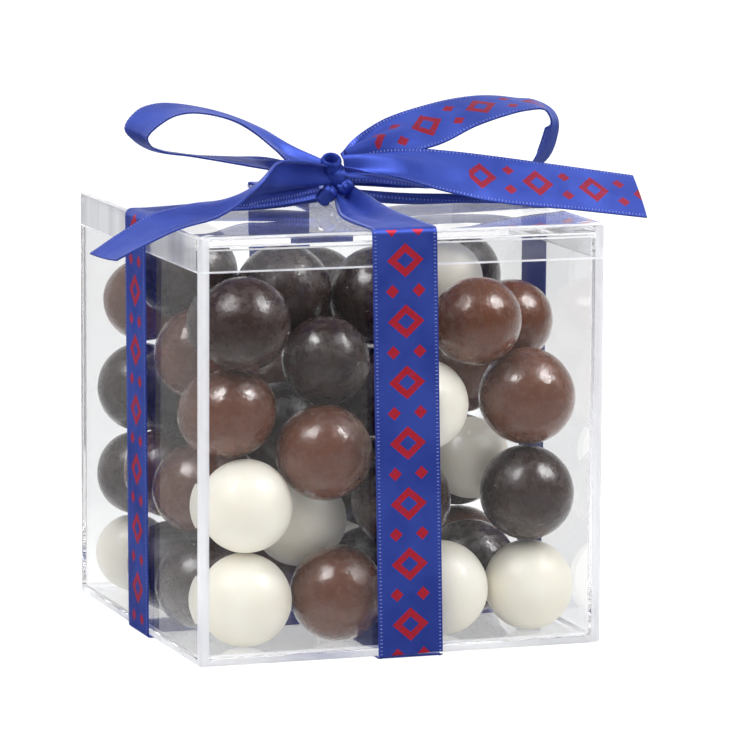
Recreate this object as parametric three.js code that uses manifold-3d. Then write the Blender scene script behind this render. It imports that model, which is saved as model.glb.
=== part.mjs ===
// Clear gift box with a lift-off lid, filled with chocolate balls and tied with a satin ribbon and bow.
// Millimetres, +Z up. The origin is the middle of the face that the box stands on, which is the underside
// of the ribbon crossing. The front faces -Y and the left side faces -X.
import * as THREE from 'three';
import { mergeVertices } from 'three/addons/utils/BufferGeometryUtils.js';
import Module from 'manifold-3d';

const wasm = await Module();
wasm.setup();

// Box and lid
const BOX_SIDE = 80; // outer width and depth, the same for base and lid
const BOX_HEIGHT = 80.4; // base and lid together
const WALL = 2.0;
const FLOOR = 1.2;
const CORNER_RADIUS = 1.0; // upright outer corners
const LID_HEIGHT = 6.6; // top plate and skirt
const LID_PLATE = 1.8;
const RIM_THICKNESS = 0.9; // thin lip at the base's mouth, inside the lid's skirt
const LID_FIT = 0.2; // between the lip and the skirt
const RIM_TOP_GAP = 0.7; // between the lip's top and the lid's plate
const CORNER_STEPS = 3;

// Chocolate balls
const BALL_DIAMETER = 18.1;
const BALL_SPREAD = 0.2; // largest change of a ball's radius, because no two are alike
const BALL_GAP = 0.1; // least room between two balls, or a ball and a wall
const STACK_OVERLAP = 0.5; // balls of one stuck-together stack share this much
const BALL_DETAIL = 2;

// Ribbon
const RIBBON_WIDTH = 12.7;
const RIBBON_THICKNESS = 0.4;
const STRAP_STANDOFF = 0.9; // slack of a strap off the lid's side, under its fold
const RIBBON_GAP = 0.3; // ribbon to the box, to the lid, to the knot and to the crossing under the box
const LENGTHWISE_SHIFT = 1.5; // the front and back straps lie this far right of the middle
const CROSSWISE_SHIFT = -2.5; // the left and right straps lie this far in front of it
const FOLD_RADIUS = 1.2; // centre line of the fold over the lid's edge
const FOLD_STEPS = 3;
const CURVE_STEPS = 3; // rings between two stations of a bow stretch
const KNOT = { at: [-0.3, -0.5, 5.3], reach: [3.3, 3.1, 5.1] };

// Values that follow from the sizes above
const HALF = BOX_SIDE / 2;
const INNER_HALF = HALF - WALL;
const BOX_BOTTOM = RIBBON_THICKNESS;
const LID_TOP = BOX_BOTTOM + BOX_HEIGHT;
const SHOULDER = LID_TOP - LID_HEIGHT;
const LID_UNDERSIDE = LID_TOP - LID_PLATE;
const RIM_TOP = LID_UNDERSIDE - RIM_TOP_GAP;
const RIM_OUTER_HALF = INNER_HALF + RIM_THICKNESS;
const FLOOR_TOP = BOX_BOTTOM + FLOOR;
const STRAP_OUTSIDE = HALF + RIBBON_GAP + RIBBON_THICKNESS; // at the foot of a strap

const MATERIALS = {
  clear: new THREE.MeshStandardMaterial({
    color: 0xf4f7fa, roughness: 0.04, metalness: 0, transparent: true, opacity: 0.25,
  }),
  white: new THREE.MeshStandardMaterial({ color: 0xf6efdc, roughness: 0.5, metalness: 0 }),
  milk: new THREE.MeshStandardMaterial({ color: 0x6b4331, roughness: 0.3, metalness: 0 }),
  dark: new THREE.MeshStandardMaterial({ color: 0x33241f, roughness: 0.28, metalness: 0 }),
  ribbon: new THREE.MeshStandardMaterial({ color: 0x2f3da6, roughness: 0.38, metalness: 0 }),
};

const candyBox = new THREE.Group();
candyBox.name = 'acrylic_candy_box';

function addPiece(name, geometry, material) {
  const mesh = new THREE.Mesh(geometry, material);
  mesh.name = name;
  candyBox.add(mesh);
  return mesh;
}

// A closed geometry as a solid for joining and cutting.
function toSolid(geometry) {
  const bare = geometry.clone();
  bare.deleteAttribute('normal');
  bare.deleteAttribute('uv');
  const merged = mergeVertices(bare, 1e-4);
  const mesh = new wasm.Mesh({
    numProp: 3,
    vertProperties: new Float32Array(merged.attributes.position.array),
    triVerts: new Uint32Array(merged.index.array),
  });
  return new wasm.Manifold(mesh);
}

function toGeometry(solid) {
  const mesh = solid.getMesh();
  const geometry = new THREE.BufferGeometry();
  geometry.setAttribute('position', new THREE.BufferAttribute(mesh.vertProperties, 3));
  geometry.setIndex(new THREE.BufferAttribute(mesh.triVerts, 1));
  geometry.computeVertexNormals();
  return geometry;
}

// Upright prism on a square with rounded corners.
function squarePrism(half, radius, bottom, top) {
  const shape = new THREE.Shape();
  const inset = half - radius;
  shape.absarc(inset, inset, radius, 0, Math.PI / 2, false);
  shape.absarc(-inset, inset, radius, Math.PI / 2, Math.PI, false);
  shape.absarc(-inset, -inset, radius, Math.PI, 1.5 * Math.PI, false);
  shape.absarc(inset, -inset, radius, 1.5 * Math.PI, 2 * Math.PI, false);
  shape.closePath();
  const prism = new THREE.ExtrudeGeometry(shape, {
    depth: top - bottom, bevelEnabled: false, curveSegments: CORNER_STEPS,
  });
  return toSolid(prism.translate(0, 0, bottom));
}

// Base: floor, four walls, and a thin lip that steps in from the shoulder where the lid sits.
function boxBase() {
  const body = squarePrism(HALF, CORNER_RADIUS, BOX_BOTTOM, SHOULDER);
  const lip = squarePrism(RIM_OUTER_HALF, CORNER_RADIUS, FLOOR_TOP, RIM_TOP);
  const room = squarePrism(INNER_HALF, CORNER_RADIUS, FLOOR_TOP, LID_TOP);
  return toGeometry(body.add(lip).subtract(room));
}

// Lid: top plate with a skirt that drops round the lip and rests on the shoulder.
function boxLid() {
  const body = squarePrism(HALF, CORNER_RADIUS, SHOULDER, LID_TOP);
  const recess = squarePrism(RIM_OUTER_HALF + LID_FIT, CORNER_RADIUS, BOX_BOTTOM, LID_UNDERSIDE);
  return toGeometry(body.subtract(recess));
}

// Where the balls lie, from the floor up. Each entry is flavour, steps from the left wall, steps from the
// front wall, height in balls above the floor layer and, for a ball of its own size, its share of the usual
// one. Nine steps span the room between two walls.
const STEPS_ACROSS = 9;
const LOOSE_BALLS = [
  'white 0.2 0 0, milk 3 0 0, white 6.2 0 0, white 9 0.1 0 0.96, dark 0 3 0, dark 8.3 3 0',
  'dark 0 6 0, milk 9 6 0, white 0 9 0 0.86, milk 3 9 0, white 6 9 0, white 9 9 0',
  'white 0.2 0 1 0.98, white 2.6 2.3 0.8, dark 5.2 0.3 1 1.06, dark 9 0 0.9 1.01, milk 0 3 1',
  'white 7.9 2.5 1.4 0.88, milk 0 6.1 1, dark 9 6 1, dark 0 9 0.9 0.92, white 3 9 1, milk 6 9 1, dark 9 9 1',
  'milk 0 0.9 1.9 0.97, milk 2.5 0 1.6 1.02, white 5.6 0 2, milk 9 0 2 1.03, dark 2.7 3.2 1.8',
  'milk 0 3.4 2.3, milk 9 1.9 3 0.9, dark 0 5.3 1.7, milk 9 6 2, dark 0 9 1.8 0.97, milk 9 9 2',
  'dark 0.1 0 2.9 0.99, dark 3 1.1 2.5 0.94, milk 7.4 0 2.9 0.97, dark 2.4 3.2 3.1 1.04, dark 0 4.6 3.2',
  'dark 5.3 3.2 3 1.05, dark 4.5 6.4 2.9 1.05, dark 9 6.3 3, white 7.4 4.1 3.2 0.85, milk 0.2 9 2.7 0.93',
].join(', ').split(', ');
const STACKS = ['dark 5.1 3.2', 'milk 3.05 6.1', 'white 5.95 6.1'];
const STACK_BALLS = 3;
const SETTLE_ROUNDS = 900;
const SINK_ROUNDS = 150;
const SINK_STEP = 0.012;

// Repeatable numbers from 0 to 1.
function numberMaker(seed) {
  let state = seed;
  return () => {
    state = (state * 1664525 + 1013904223) % 4294967296;
    return state / 4294967296;
  };
}

function ballStart(entry, usual) {
  const [flavour, across, back, level, share] = entry.split(' ');
  const radius = share ? Number(share) * BALL_DIAMETER / 2 : usual;
  const reach = INNER_HALF - radius - BALL_GAP;
  const along = (steps) => reach * (2 * Number(steps) / STEPS_ACROSS - 1);
  const height = FLOOR_TOP + BALL_GAP + radius + Number(level) * (BALL_DIAMETER + BALL_GAP);
  return { flavour, radius, at: new THREE.Vector3(along(across), along(back), height), stack: null };
}

function placeBalls() {
  const next = numberMaker(7);
  const balls = [];
  STACKS.forEach((entry, stack) => {
    for (let k = 0; k < STACK_BALLS; k += 1) {
      const ball = ballStart(`${entry} 0`, BALL_DIAMETER / 2);
      ball.at.z += k * (BALL_DIAMETER - STACK_OVERLAP);
      balls.push({ ...ball, stack });
    }
  });
  for (const entry of LOOSE_BALLS) {
    balls.push(ballStart(entry, BALL_DIAMETER / 2 + BALL_SPREAD * (2 * next() - 1)));
  }
  return balls;
}

// Two balls that press into each other move apart. A stack stays put and the loose ball gives way.
function partBalls(first, second) {
  if (first.stack !== null && second.stack !== null) return;
  const offset = second.at.clone().sub(first.at);
  const short = first.radius + second.radius + BALL_GAP - offset.length();
  if (short <= 0) return;
  const loose = first.stack === null && second.stack === null;
  const push = offset.normalize().multiplyScalar(loose ? short / 2 : short);
  if (first.stack === null) first.at.sub(push);
  if (second.stack === null) second.at.add(push);
}

function keepInBox(ball) {
  const side = INNER_HALF - ball.radius - BALL_GAP;
  ball.at.x = THREE.MathUtils.clamp(ball.at.x, -side, side);
  ball.at.y = THREE.MathUtils.clamp(ball.at.y, -side, side);
  const low = FLOOR_TOP + ball.radius + BALL_GAP;
  const high = LID_UNDERSIDE - ball.radius - BALL_GAP;
  ball.at.z = THREE.MathUtils.clamp(ball.at.z, low, high);
}

// Room left under a ball, straight down to the floor or to the first ball in its way.
function roomBelow(ball, balls) {
  let room = ball.at.z - (FLOOR_TOP + ball.radius + BALL_GAP);
  for (const other of balls) {
    const across = Math.hypot(other.at.x - ball.at.x, other.at.y - ball.at.y);
    const touch = ball.radius + other.radius + BALL_GAP;
    if (other === ball || other.at.z > ball.at.z || across >= touch) continue;
    const height = other.at.z + Math.sqrt(touch * touch - across * across);
    room = Math.min(room, ball.at.z - height);
  }
  return Math.max(room, 0);
}

// The filled box is shaken down: loose balls sink a little, part until none presses on another, and those
// that still hang free drop onto what lies below them.
function settle(balls) {
  const loose = balls.filter((ball) => ball.stack === null);
  for (let round = 0; round < SETTLE_ROUNDS; round += 1) {
    for (const ball of loose) {
      if (round < SINK_ROUNDS) ball.at.z -= SINK_STEP;
    }
    for (let i = 0; i < balls.length; i += 1) {
      for (let j = i + 1; j < balls.length; j += 1) partBalls(balls[i], balls[j]);
    }
    loose.forEach(keepInBox);
  }
  loose.sort((first, second) => first.at.z - second.at.z);
  for (const ball of loose) ball.at.z -= roomBelow(ball, balls);
  return balls;
}

function ballGeometry(ball) {
  return new THREE.IcosahedronGeometry(ball.radius, BALL_DETAIL).translate(ball.at.x, ball.at.y, ball.at.z);
}

function addBalls() {
  const balls = settle(placeBalls());
  const counts = { white: 0, milk: 0, dark: 0 };
  for (const ball of balls.filter((each) => each.stack === null)) {
    counts[ball.flavour] += 1;
    const number = String(counts[ball.flavour]).padStart(2, '0');
    addPiece(`${ball.flavour}_ball_${number}`, ballGeometry(ball), MATERIALS[ball.flavour]);
  }
  STACKS.forEach((entry, stack) => {
    const members = balls.filter((each) => each.stack === stack);
    const solid = members.map((ball) => toSolid(ballGeometry(ball))).reduce((sum, next) => sum.add(next));
    const { flavour } = members[0];
    addPiece(`${flavour}_inner_stack`, toGeometry(solid), MATERIALS[flavour]);
  });
}

// A ribbon stretch is drawn as stations: middle of the ribbon, direction across it, and width there.
function station(at, across, width = RIBBON_WIDTH) {
  return { at: new THREE.Vector3(...at), across: new THREE.Vector3(...across).normalize(), width };
}

// Rings between the stations, on a smooth curve through them.
function smoothRings(stations) {
  const path = new THREE.CatmullRomCurve3(stations.map((each) => each.at), false, 'centripetal');
  const spans = stations.length - 1;
  const rings = [];
  for (let step = 0; step <= spans * CURVE_STEPS; step += 1) {
    const place = step / CURVE_STEPS;
    const from = Math.min(Math.floor(place), spans - 1);
    const part = place - from;
    rings.push({
      at: path.getPoint(place / spans),
      across: stations[from].across.clone().lerp(stations[from + 1].across, part).normalize(),
      width: THREE.MathUtils.lerp(stations[from].width, stations[from + 1].width, part),
    });
  }
  return rings;
}

// Closed strip of ribbon thickness through a row of rings.
function strip(rings) {
  const points = [];
  rings.forEach((ring, i) => {
    const before = rings[Math.max(i - 1, 0)].at;
    const after = rings[Math.min(i + 1, rings.length - 1)].at;
    const along = after.clone().sub(before).normalize();
    const across = ring.across.clone().addScaledVector(along, -ring.across.dot(along)).normalize();
    const normal = along.clone().cross(across);
    for (const [side, face] of [[-1, -1], [1, -1], [1, 1], [-1, 1]]) {
      const corner = ring.at.clone().addScaledVector(across, side * ring.width / 2);
      points.push(...corner.addScaledVector(normal, face * RIBBON_THICKNESS / 2).toArray());
    }
  });
  const last = (rings.length - 1) * 4;
  const triangles = [0, 2, 1, 0, 3, 2, last, last + 1, last + 2, last, last + 2, last + 3];
  for (let ring = 0; ring < rings.length - 1; ring += 1) {
    for (let side = 0; side < 4; side += 1) {
      const a = ring * 4 + side;
      const b = ring * 4 + (side + 1) % 4;
      triangles.push(a, b, a + 4, b, b + 4, a + 4);
    }
  }
  const geometry = new THREE.BufferGeometry();
  geometry.setAttribute('position', new THREE.BufferAttribute(new Float32Array(points), 3));
  geometry.setIndex(triangles);
  geometry.computeVertexNormals();
  return geometry;
}

// A point of the bow, given from the middle of the lid's top face.
function aboveLid(x, y, height) {
  return [x, y, LID_TOP + height];
}

// Room that the knot takes, with clearance: every stretch that runs into the knot ends there.
function knotRoom() {
  const [rx, ry, rz] = KNOT.reach.map((reach) => reach + RIBBON_GAP);
  const room = new THREE.SphereGeometry(1, 12, 8).rotateX(Math.PI / 2).scale(rx, ry, rz);
  return toSolid(room.translate(...aboveLid(...KNOT.at)));
}

// Up a wall from the crossing under the box, over the lid's edge and in to the knot. Drawn for the front.
// The strap lies close to the wall at its foot and a little off the lid's side. Low and high are how far it
// lies to one side at its foot and at the lid.
function strapRings({ low, high, topRun }) {
  const foot = HALF + RIBBON_GAP + RIBBON_THICKNESS / 2;
  const run = HALF + STRAP_STANDOFF + RIBBON_THICKNESS / 2;
  const top = LID_TOP + RIBBON_GAP + RIBBON_THICKNESS / 2;
  const flat = [1, 0, 0];
  const rings = [station([low, -foot, BOX_BOTTOM + RIBBON_GAP], flat)];
  for (let step = 0; step <= FOLD_STEPS; step += 1) {
    const turn = step / FOLD_STEPS * Math.PI / 2;
    const out = run - FOLD_RADIUS * (1 - Math.cos(turn));
    rings.push(station([high, -out, top - FOLD_RADIUS * (1 - Math.sin(turn))], flat));
  }
  const seat = station([high, -(HALF - 2), top], flat);
  return [...rings, ...smoothRings([seat, ...topRun])];
}

// The front strap stands up and turns as it nears the knot, the others lie flat and draw together.
const FRONT_TOP_RUN = [
  station(aboveLid(0.5, -HALF * 0.7, 1.0), [0.99, 0, 0.1], RIBBON_WIDTH * 0.95),
  station(aboveLid(1.6, -HALF * 0.36, 2.8), [0.92, 0, 0.38], RIBBON_WIDTH * 0.7),
  station(aboveLid(0.8, -1.5, 3.4), [0.8, 0, 0.6], RIBBON_WIDTH * 0.36),
];
function flatTopRun(shift) {
  return [
    station(aboveLid(shift * 0.65, -HALF * 0.65, 0.8), [1, 0, 0], RIBBON_WIDTH * 0.9),
    station(aboveLid(shift * 0.35, -HALF * 0.35, 1.2), [1, 0, 0], RIBBON_WIDTH * 0.62),
    station(aboveLid(0, -2.2, 2.4), [1, 0, 0], RIBBON_WIDTH * 0.26),
  ];
}
const STRAPS = [
  { name: 'ribbon_strap_front', turn: 0, low: LENGTHWISE_SHIFT, high: -0.4, topRun: FRONT_TOP_RUN },
  { name: 'ribbon_strap_right', turn: Math.PI / 2, ...evenStrap(CROSSWISE_SHIFT) },
  { name: 'ribbon_strap_back', turn: Math.PI, ...evenStrap(-LENGTHWISE_SHIFT) },
  { name: 'ribbon_strap_left', turn: -Math.PI / 2, ...evenStrap(-CROSSWISE_SHIFT) },
];

// A strap that stays as far to one side all the way up its wall.
function evenStrap(shift) {
  return { low: shift, high: shift, topRun: flatTopRun(shift) };
}

// Bow stretches. Across points away from the front edge of the ribbon.
const BOW = {
  bow_loop_left: [
    station(aboveLid(-1.5, 0.5, 7.8), [0, 0.5, -0.86], RIBBON_WIDTH * 0.4),
    station(aboveLid(-8, 0.2, 11.2), [0, 0.8, -0.6], RIBBON_WIDTH * 0.75),
    station(aboveLid(-14, 0, 14.0), [0, 0.95, -0.31]),
    station(aboveLid(-21.5, 0, 17.7), [0, 1, -0.08]),
    station(aboveLid(-28, 0, 19.4), [0, 1, 0.02]),
    station(aboveLid(-34.2, 0, 19.4), [0, 1, 0.09]),
    station(aboveLid(-38.4, 0, 17.6), [-0.03, 1, 0.14]),
    station(aboveLid(-40.1, 0, 15.2), [-0.06, 1, 0.08]),
    station(aboveLid(-38.4, 0, 13.2), [0, 1, 0.02]),
    station(aboveLid(-33.5, 0, 11.6), [0, 1, -0.02]),
    station(aboveLid(-26, 0, 10.2), [0, 1, 0.04]),
    station(aboveLid(-17.5, 0.3, 8.7), [0, 1, 0.08]),
    station(aboveLid(-9, 1.2, 6.6), [0, 0.97, 0.2], RIBBON_WIDTH * 0.6),
    station(aboveLid(-1.5, 0.8, 5.4), [0, 0.9, 0.4], RIBBON_WIDTH * 0.3),
  ],
  bow_loop_right: [
    station(aboveLid(1, 1.2, 8.4), [0, 0.85, 0.53], RIBBON_WIDTH * 0.3),
    station(aboveLid(5, 2.2, 10.8), [0, 0.85, 0.53], RIBBON_WIDTH * 0.5),
    station(aboveLid(10.5, 2.4, 13.2), [0, 0.85, 0.53], RIBBON_WIDTH * 0.72),
    station(aboveLid(18.3, 0.8, 15.2), [0, 0.88, 0.47]),
    station(aboveLid(28, 0.5, 18.1), [-0.05, 0.96, 0.27]),
    station(aboveLid(34.5, 0.5, 19.1), [0.08, 0.97, 0.2]),
    station(aboveLid(41.2, 0.5, 18.5), [0.25, 0.97, 0.02]),
    station(aboveLid(44.5, 0.5, 15.6), [0.5, 0.86, -0.05]),
    station(aboveLid(44.4, 0.5, 11.8), [0.55, 0.83, -0.1]),
    station(aboveLid(42.2, 0.8, 7.6), [0.5, 0.86, -0.16]),
    station(aboveLid(37, 1.5, 4.6), [0.25, 0.96, -0.08]),
    station(aboveLid(28, 2, 3.2), [0.05, 1, 0]),
    station(aboveLid(17, 1.8, 3.6), [0, 1, 0.02]),
    station(aboveLid(8, 1.2, 5.0), [0, 0.97, 0.1], RIBBON_WIDTH * 0.6),
    station(aboveLid(1, 0.4, 5.8), [0, 0.9, 0.3], RIBBON_WIDTH * 0.3),
  ],
  bow_tail_left: [
    station(aboveLid(-1, -1.5, 6.2), [0, 0.35, -0.94], RIBBON_WIDTH * 0.3),
    station(aboveLid(-8.5, -5, 6.6), [0, 0.35, -0.94], RIBBON_WIDTH * 0.46),
    station(aboveLid(-16, -9, 6.2), [0.05, 0.45, -0.89], RIBBON_WIDTH * 0.56),
    station(aboveLid(-23, -14, 4.4), [0, 0.95, -0.3], RIBBON_WIDTH * 0.76),
    station(aboveLid(-30, -19.5, 3.0), [-0.4, 0.91, 0.03], RIBBON_WIDTH * 0.95),
    station(aboveLid(-(HALF - 1.5), -24, 2.3), [-0.4, 0.9, 0.1]),
    station(aboveLid(-(HALF + 6), -25.8, -0.5), [-0.3, 0.95, 0.05]),
    station(aboveLid(-(HALF + 14.2), -26.5, -5), [-0.12, 0.99, 0]),
  ],
  bow_tail_right: [
    station(aboveLid(1.2, -1.5, 8.0), [0, 0.5, 0.87], RIBBON_WIDTH * 0.3),
    station(aboveLid(7, -4.8, 9.6), [0, 0.5, 0.87], RIBBON_WIDTH * 0.4),
    station(aboveLid(16.5, -9.2, 8.5), [0, 0.72, 0.69], RIBBON_WIDTH * 0.7),
    station(aboveLid(27, -12, 6.3), [0, 0.77, 0.64], RIBBON_WIDTH * 0.96),
    station(aboveLid(HALF - 2.5, -13, 5.0), [0, 0.78, 0.62]),
    station(aboveLid(HALF + 8, -13.4, 3.3), [0, 0.78, 0.62]),
    station(aboveLid(HALF + 18, -13.2, 1.6), [0, 0.8, 0.58]),
  ],
};

function addRibbon() {
  const room = knotRoom();
  for (const strap of STRAPS) {
    const turned = strip(strapRings(strap)).rotateZ(strap.turn);
    addPiece(strap.name, toGeometry(toSolid(turned).subtract(room)), MATERIALS.ribbon);
  }
  for (const [name, stations] of Object.entries(BOW)) {
    const stretch = toSolid(strip(smoothRings(stations))).subtract(room);
    addPiece(name, toGeometry(stretch), MATERIALS.ribbon);
  }
  addPiece('ribbon_knot', ribbonKnot(), MATERIALS.ribbon);
  addPiece('ribbon_cross_under', crossUnder(), MATERIALS.ribbon);
}

// One gathered wrap of the knot: a ring of ribbon, as wide along its axis as the ribbon is bunched.
function knotWrap({ at, ring, tube, bunch, tilt }) {
  const wrap = new THREE.TorusGeometry(ring, tube, 7, 12).rotateY(Math.PI / 2).scale(bunch, 1, 1);
  return toSolid(wrap.rotateY(tilt).translate(...aboveLid(...at)));
}

const KNOT_WRAPS = [
  { at: [-1.1, -0.6, 8.0], ring: 1.35, tube: 0.8, bunch: 1.9, tilt: 0.15 },
  { at: [0.5, -0.8, 5.2], ring: 1.75, tube: 0.75, bunch: 1.8, tilt: -0.6 },
  { at: [-0.8, -0.6, 3.0], ring: 1.4, tube: 0.75, bunch: 1.9, tilt: 0.6 },
];

function ribbonKnot() {
  const [rx, ry, rz] = KNOT.reach.map((reach) => reach * 0.72);
  const heart = new THREE.SphereGeometry(1, 12, 8).rotateX(Math.PI / 2).scale(rx, ry, rz);
  const solid = KNOT_WRAPS.map(knotWrap).reduce(
    (sum, wrap) => sum.add(wrap), toSolid(heart.translate(...aboveLid(...KNOT.at))),
  );
  return toGeometry(solid);
}

// The ribbon's two runs under the box cross flat, each in line with its two straps.
function crossUnder() {
  const wide = RIBBON_WIDTH / 2;
  const [left, right] = [LENGTHWISE_SHIFT - wide, LENGTHWISE_SHIFT + wide];
  const [near, far] = [CROSSWISE_SHIFT - wide, CROSSWISE_SHIFT + wide];
  const end = STRAP_OUTSIDE;
  const shape = new THREE.Shape();
  const corners = [
    [right, far], [right, end], [left, end], [left, far], [-end, far], [-end, near],
    [left, near], [left, -end], [right, -end], [right, near], [end, near], [end, far],
  ];
  shape.setFromPoints(corners.map(([x, y]) => new THREE.Vector2(x, y)));
  return new THREE.ExtrudeGeometry(shape, { depth: RIBBON_THICKNESS, bevelEnabled: false });
}

addPiece('box_base', boxBase(), MATERIALS.clear);
addPiece('lid', boxLid(), MATERIALS.clear);
addBalls();
addRibbon();

export default candyBox;
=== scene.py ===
"""Clear gift box with a lift-off lid, filled with chocolate balls and tied with a blue satin ribbon."""

import logging
import math
from dataclasses import dataclass, field
from enum import Enum
from typing import NamedTuple, Sequence

import bmesh
import bpy
import numpy as np
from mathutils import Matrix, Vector, noise


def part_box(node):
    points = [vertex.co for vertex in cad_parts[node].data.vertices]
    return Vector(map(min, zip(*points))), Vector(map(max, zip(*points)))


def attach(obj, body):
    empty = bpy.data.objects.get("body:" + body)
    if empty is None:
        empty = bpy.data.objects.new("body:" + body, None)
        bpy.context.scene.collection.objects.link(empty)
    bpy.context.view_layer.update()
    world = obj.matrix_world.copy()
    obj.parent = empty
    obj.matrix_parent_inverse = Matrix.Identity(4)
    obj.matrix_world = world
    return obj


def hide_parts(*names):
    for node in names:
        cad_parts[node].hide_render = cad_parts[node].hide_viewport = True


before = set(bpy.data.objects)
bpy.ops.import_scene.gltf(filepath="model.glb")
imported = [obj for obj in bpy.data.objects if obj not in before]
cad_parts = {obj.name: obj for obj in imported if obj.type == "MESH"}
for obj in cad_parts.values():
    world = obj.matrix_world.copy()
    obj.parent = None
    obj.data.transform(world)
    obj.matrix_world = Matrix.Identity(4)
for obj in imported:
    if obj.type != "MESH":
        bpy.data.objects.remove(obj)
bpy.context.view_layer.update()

LOG = logging.getLogger("candy_box")
MM = 0.001
RIBBON_UV = "ribbon"
BOX_SIDE = 80.0  # sizes are in millimetres
BOX_BOTTOM = 0.4
BOX_HEIGHT = 80.4
LID_TOP = BOX_BOTTOM + BOX_HEIGHT
RIBBON_WIDTH = 12.7
SAME = 0.01  # measures this near to each other count as one

Point = tuple[float, float, float]


class Body(Enum):
    """The rigid bodies that pieces ride on."""

    BOX = "box"
    LID = "lid"
    RIBBON = "ribbon"


class Flavour(Enum):
    """The three kinds of chocolate ball."""

    WHITE = "white"
    MILK = "milk"
    DARK = "dark"


class AcrylicSlot(Enum):
    """Material slots of the clear pieces."""

    FACE = 0
    EDGE = 1
    REFLECTION = 2


class Lamp(Enum):
    """What a soft light does: it fills the shadows, or it only shines on what is glossy."""

    FILL = "fill"
    SHINE = "shine"


class Weave(Enum):
    """Which face of the satin a material dresses: plain, printed, or printed with the red painted darker on
    the bow as painted shade.
    """

    PLAIN = "plain"
    PRINTED = "printed"
    SHADED_BOW_PRINT = "shaded bow print"


class Wiring:
    """Short calls to add and join the nodes of one material."""

    def __init__(self, name: str) -> None:
        """Starts an empty material.

        Args:
            name: The material's name.
        """
        self.material = bpy.data.materials.new(name)
        self.material.use_nodes = True
        self.tree = self.material.node_tree
        self.tree.nodes.clear()
        self.output = self.tree.nodes.new("ShaderNodeOutputMaterial")

    def node(self, kind: str, **values: object) -> bpy.types.Node:
        """Adds a node.

        Args:
            kind: The node's type name.
            values: Attributes of the node.

        Returns:
            The new node.
        """
        made = self.tree.nodes.new(kind)
        for key, value in values.items():
            setattr(made, key, value)
        return made

    def put(self, target: bpy.types.NodeSocket, source: object) -> None:
        """Feeds a socket from another socket, or sets its own value.

        Args:
            target: The input socket.
            source: An output socket, a number or a tuple.
        """
        if isinstance(source, bpy.types.NodeSocket):
            self.tree.links.new(source, target)
        else:
            target.default_value = source

    def math(self, operation: str, *inputs: object) -> bpy.types.NodeSocket:
        """Adds a Math node and returns its result.

        Args:
            operation: The Math node's operation.
            inputs: Sockets or numbers.

        Returns:
            The result socket.
        """
        made = self.node("ShaderNodeMath", operation=operation)
        for socket, source in zip(made.inputs, inputs):
            self.put(socket, source)
        return made.outputs[0]

    def ramp(
        self, value: object, low: float, high: float, start: float = 0.0, end: float = 1.0,
    ) -> bpy.types.NodeSocket:
        """Maps a span of values smoothly onto another.

        Args:
            value: The socket to map.
            low: Value that gives start.
            high: Value that gives end.
            start: Result at and below low.
            end: Result at and above high.

        Returns:
            The mapped socket.
        """
        made = self.node("ShaderNodeMapRange", interpolation_type="SMOOTHSTEP")
        sources = {"Value": value, "From Min": low, "From Max": high, "To Min": start, "To Max": end}
        for key, source in sources.items():
            self.put(made.inputs[key], source)
        return made.outputs["Result"]

    def blend(self, share: object, first: object, second: object) -> bpy.types.NodeSocket:
        """Mixes two colours.

        Args:
            share: Share of the second colour.
            first: Socket or colour.
            second: Socket or colour.

        Returns:
            The mixed colour socket.
        """
        made = self.node("ShaderNodeMix", data_type="RGBA")
        self.put(made.inputs[0], share)
        self.put(made.inputs[6], first)
        self.put(made.inputs[7], second)
        return made.outputs[2]

    def place(self) -> bpy.types.NodeSocket:
        """Object coordinates, in metres."""
        return self.node("ShaderNodeTexCoord").outputs["Object"]

    def grain(self, scale: float, detail: float = 2.0, where: object = None) -> bpy.types.NodeSocket:
        """Noise over the piece.

        Args:
            scale: Grains per metre.
            detail: Octaves of finer grain.
            where: Coordinates, or None for Object coordinates.

        Returns:
            The noise value socket.
        """
        made = self.node("ShaderNodeTexNoise")
        self.put(made.inputs["Vector"], where if where is not None else self.place())
        self.put(made.inputs["Scale"], scale)
        self.put(made.inputs["Detail"], detail)
        return made.outputs["Fac"]

    def bump(
        self, height: object, strength: float, distance: float, under: object = None,
    ) -> bpy.types.NodeSocket:
        """Adds a Bump node.

        Args:
            height: Height socket.
            strength: Share of the full effect.
            distance: Height of a value of one, in metres.
            under: Normal of a coarser bump below this one.

        Returns:
            The normal socket.
        """
        made = self.node("ShaderNodeBump")
        self.put(made.inputs["Strength"], strength)
        self.put(made.inputs["Distance"], distance)
        self.put(made.inputs["Height"], height)
        if under is not None:
            self.put(made.inputs["Normal"], under)
        return made.outputs["Normal"]

    def principled(self, **sockets: object) -> bpy.types.Node:
        """Adds the main shader.

        Args:
            sockets: Input names, with spaces as underscores, and their sources.

        Returns:
            The shader node.
        """
        made = self.node("ShaderNodeBsdfPrincipled")
        for key, source in sockets.items():
            self.put(made.inputs[key.replace("_", " ")], source)
        return made

    def either(self, share: object, first: bpy.types.Node, second: bpy.types.Node) -> bpy.types.Node:
        """Mixes two shaders.

        Args:
            share: Share of the second shader.
            first: Shader node.
            second: Shader node.

        Returns:
            The mixing node.
        """
        made = self.node("ShaderNodeMixShader")
        self.put(made.inputs[0], share)
        self.put(made.inputs[1], first.outputs[0])
        self.put(made.inputs[2], second.outputs[0])
        return made

    def finish(self, shader: bpy.types.NodeSocket) -> bpy.types.Material:
        """Joins the shader to the output and returns the material."""
        self.tree.links.new(shader, self.output.inputs["Surface"])
        return self.material


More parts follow.
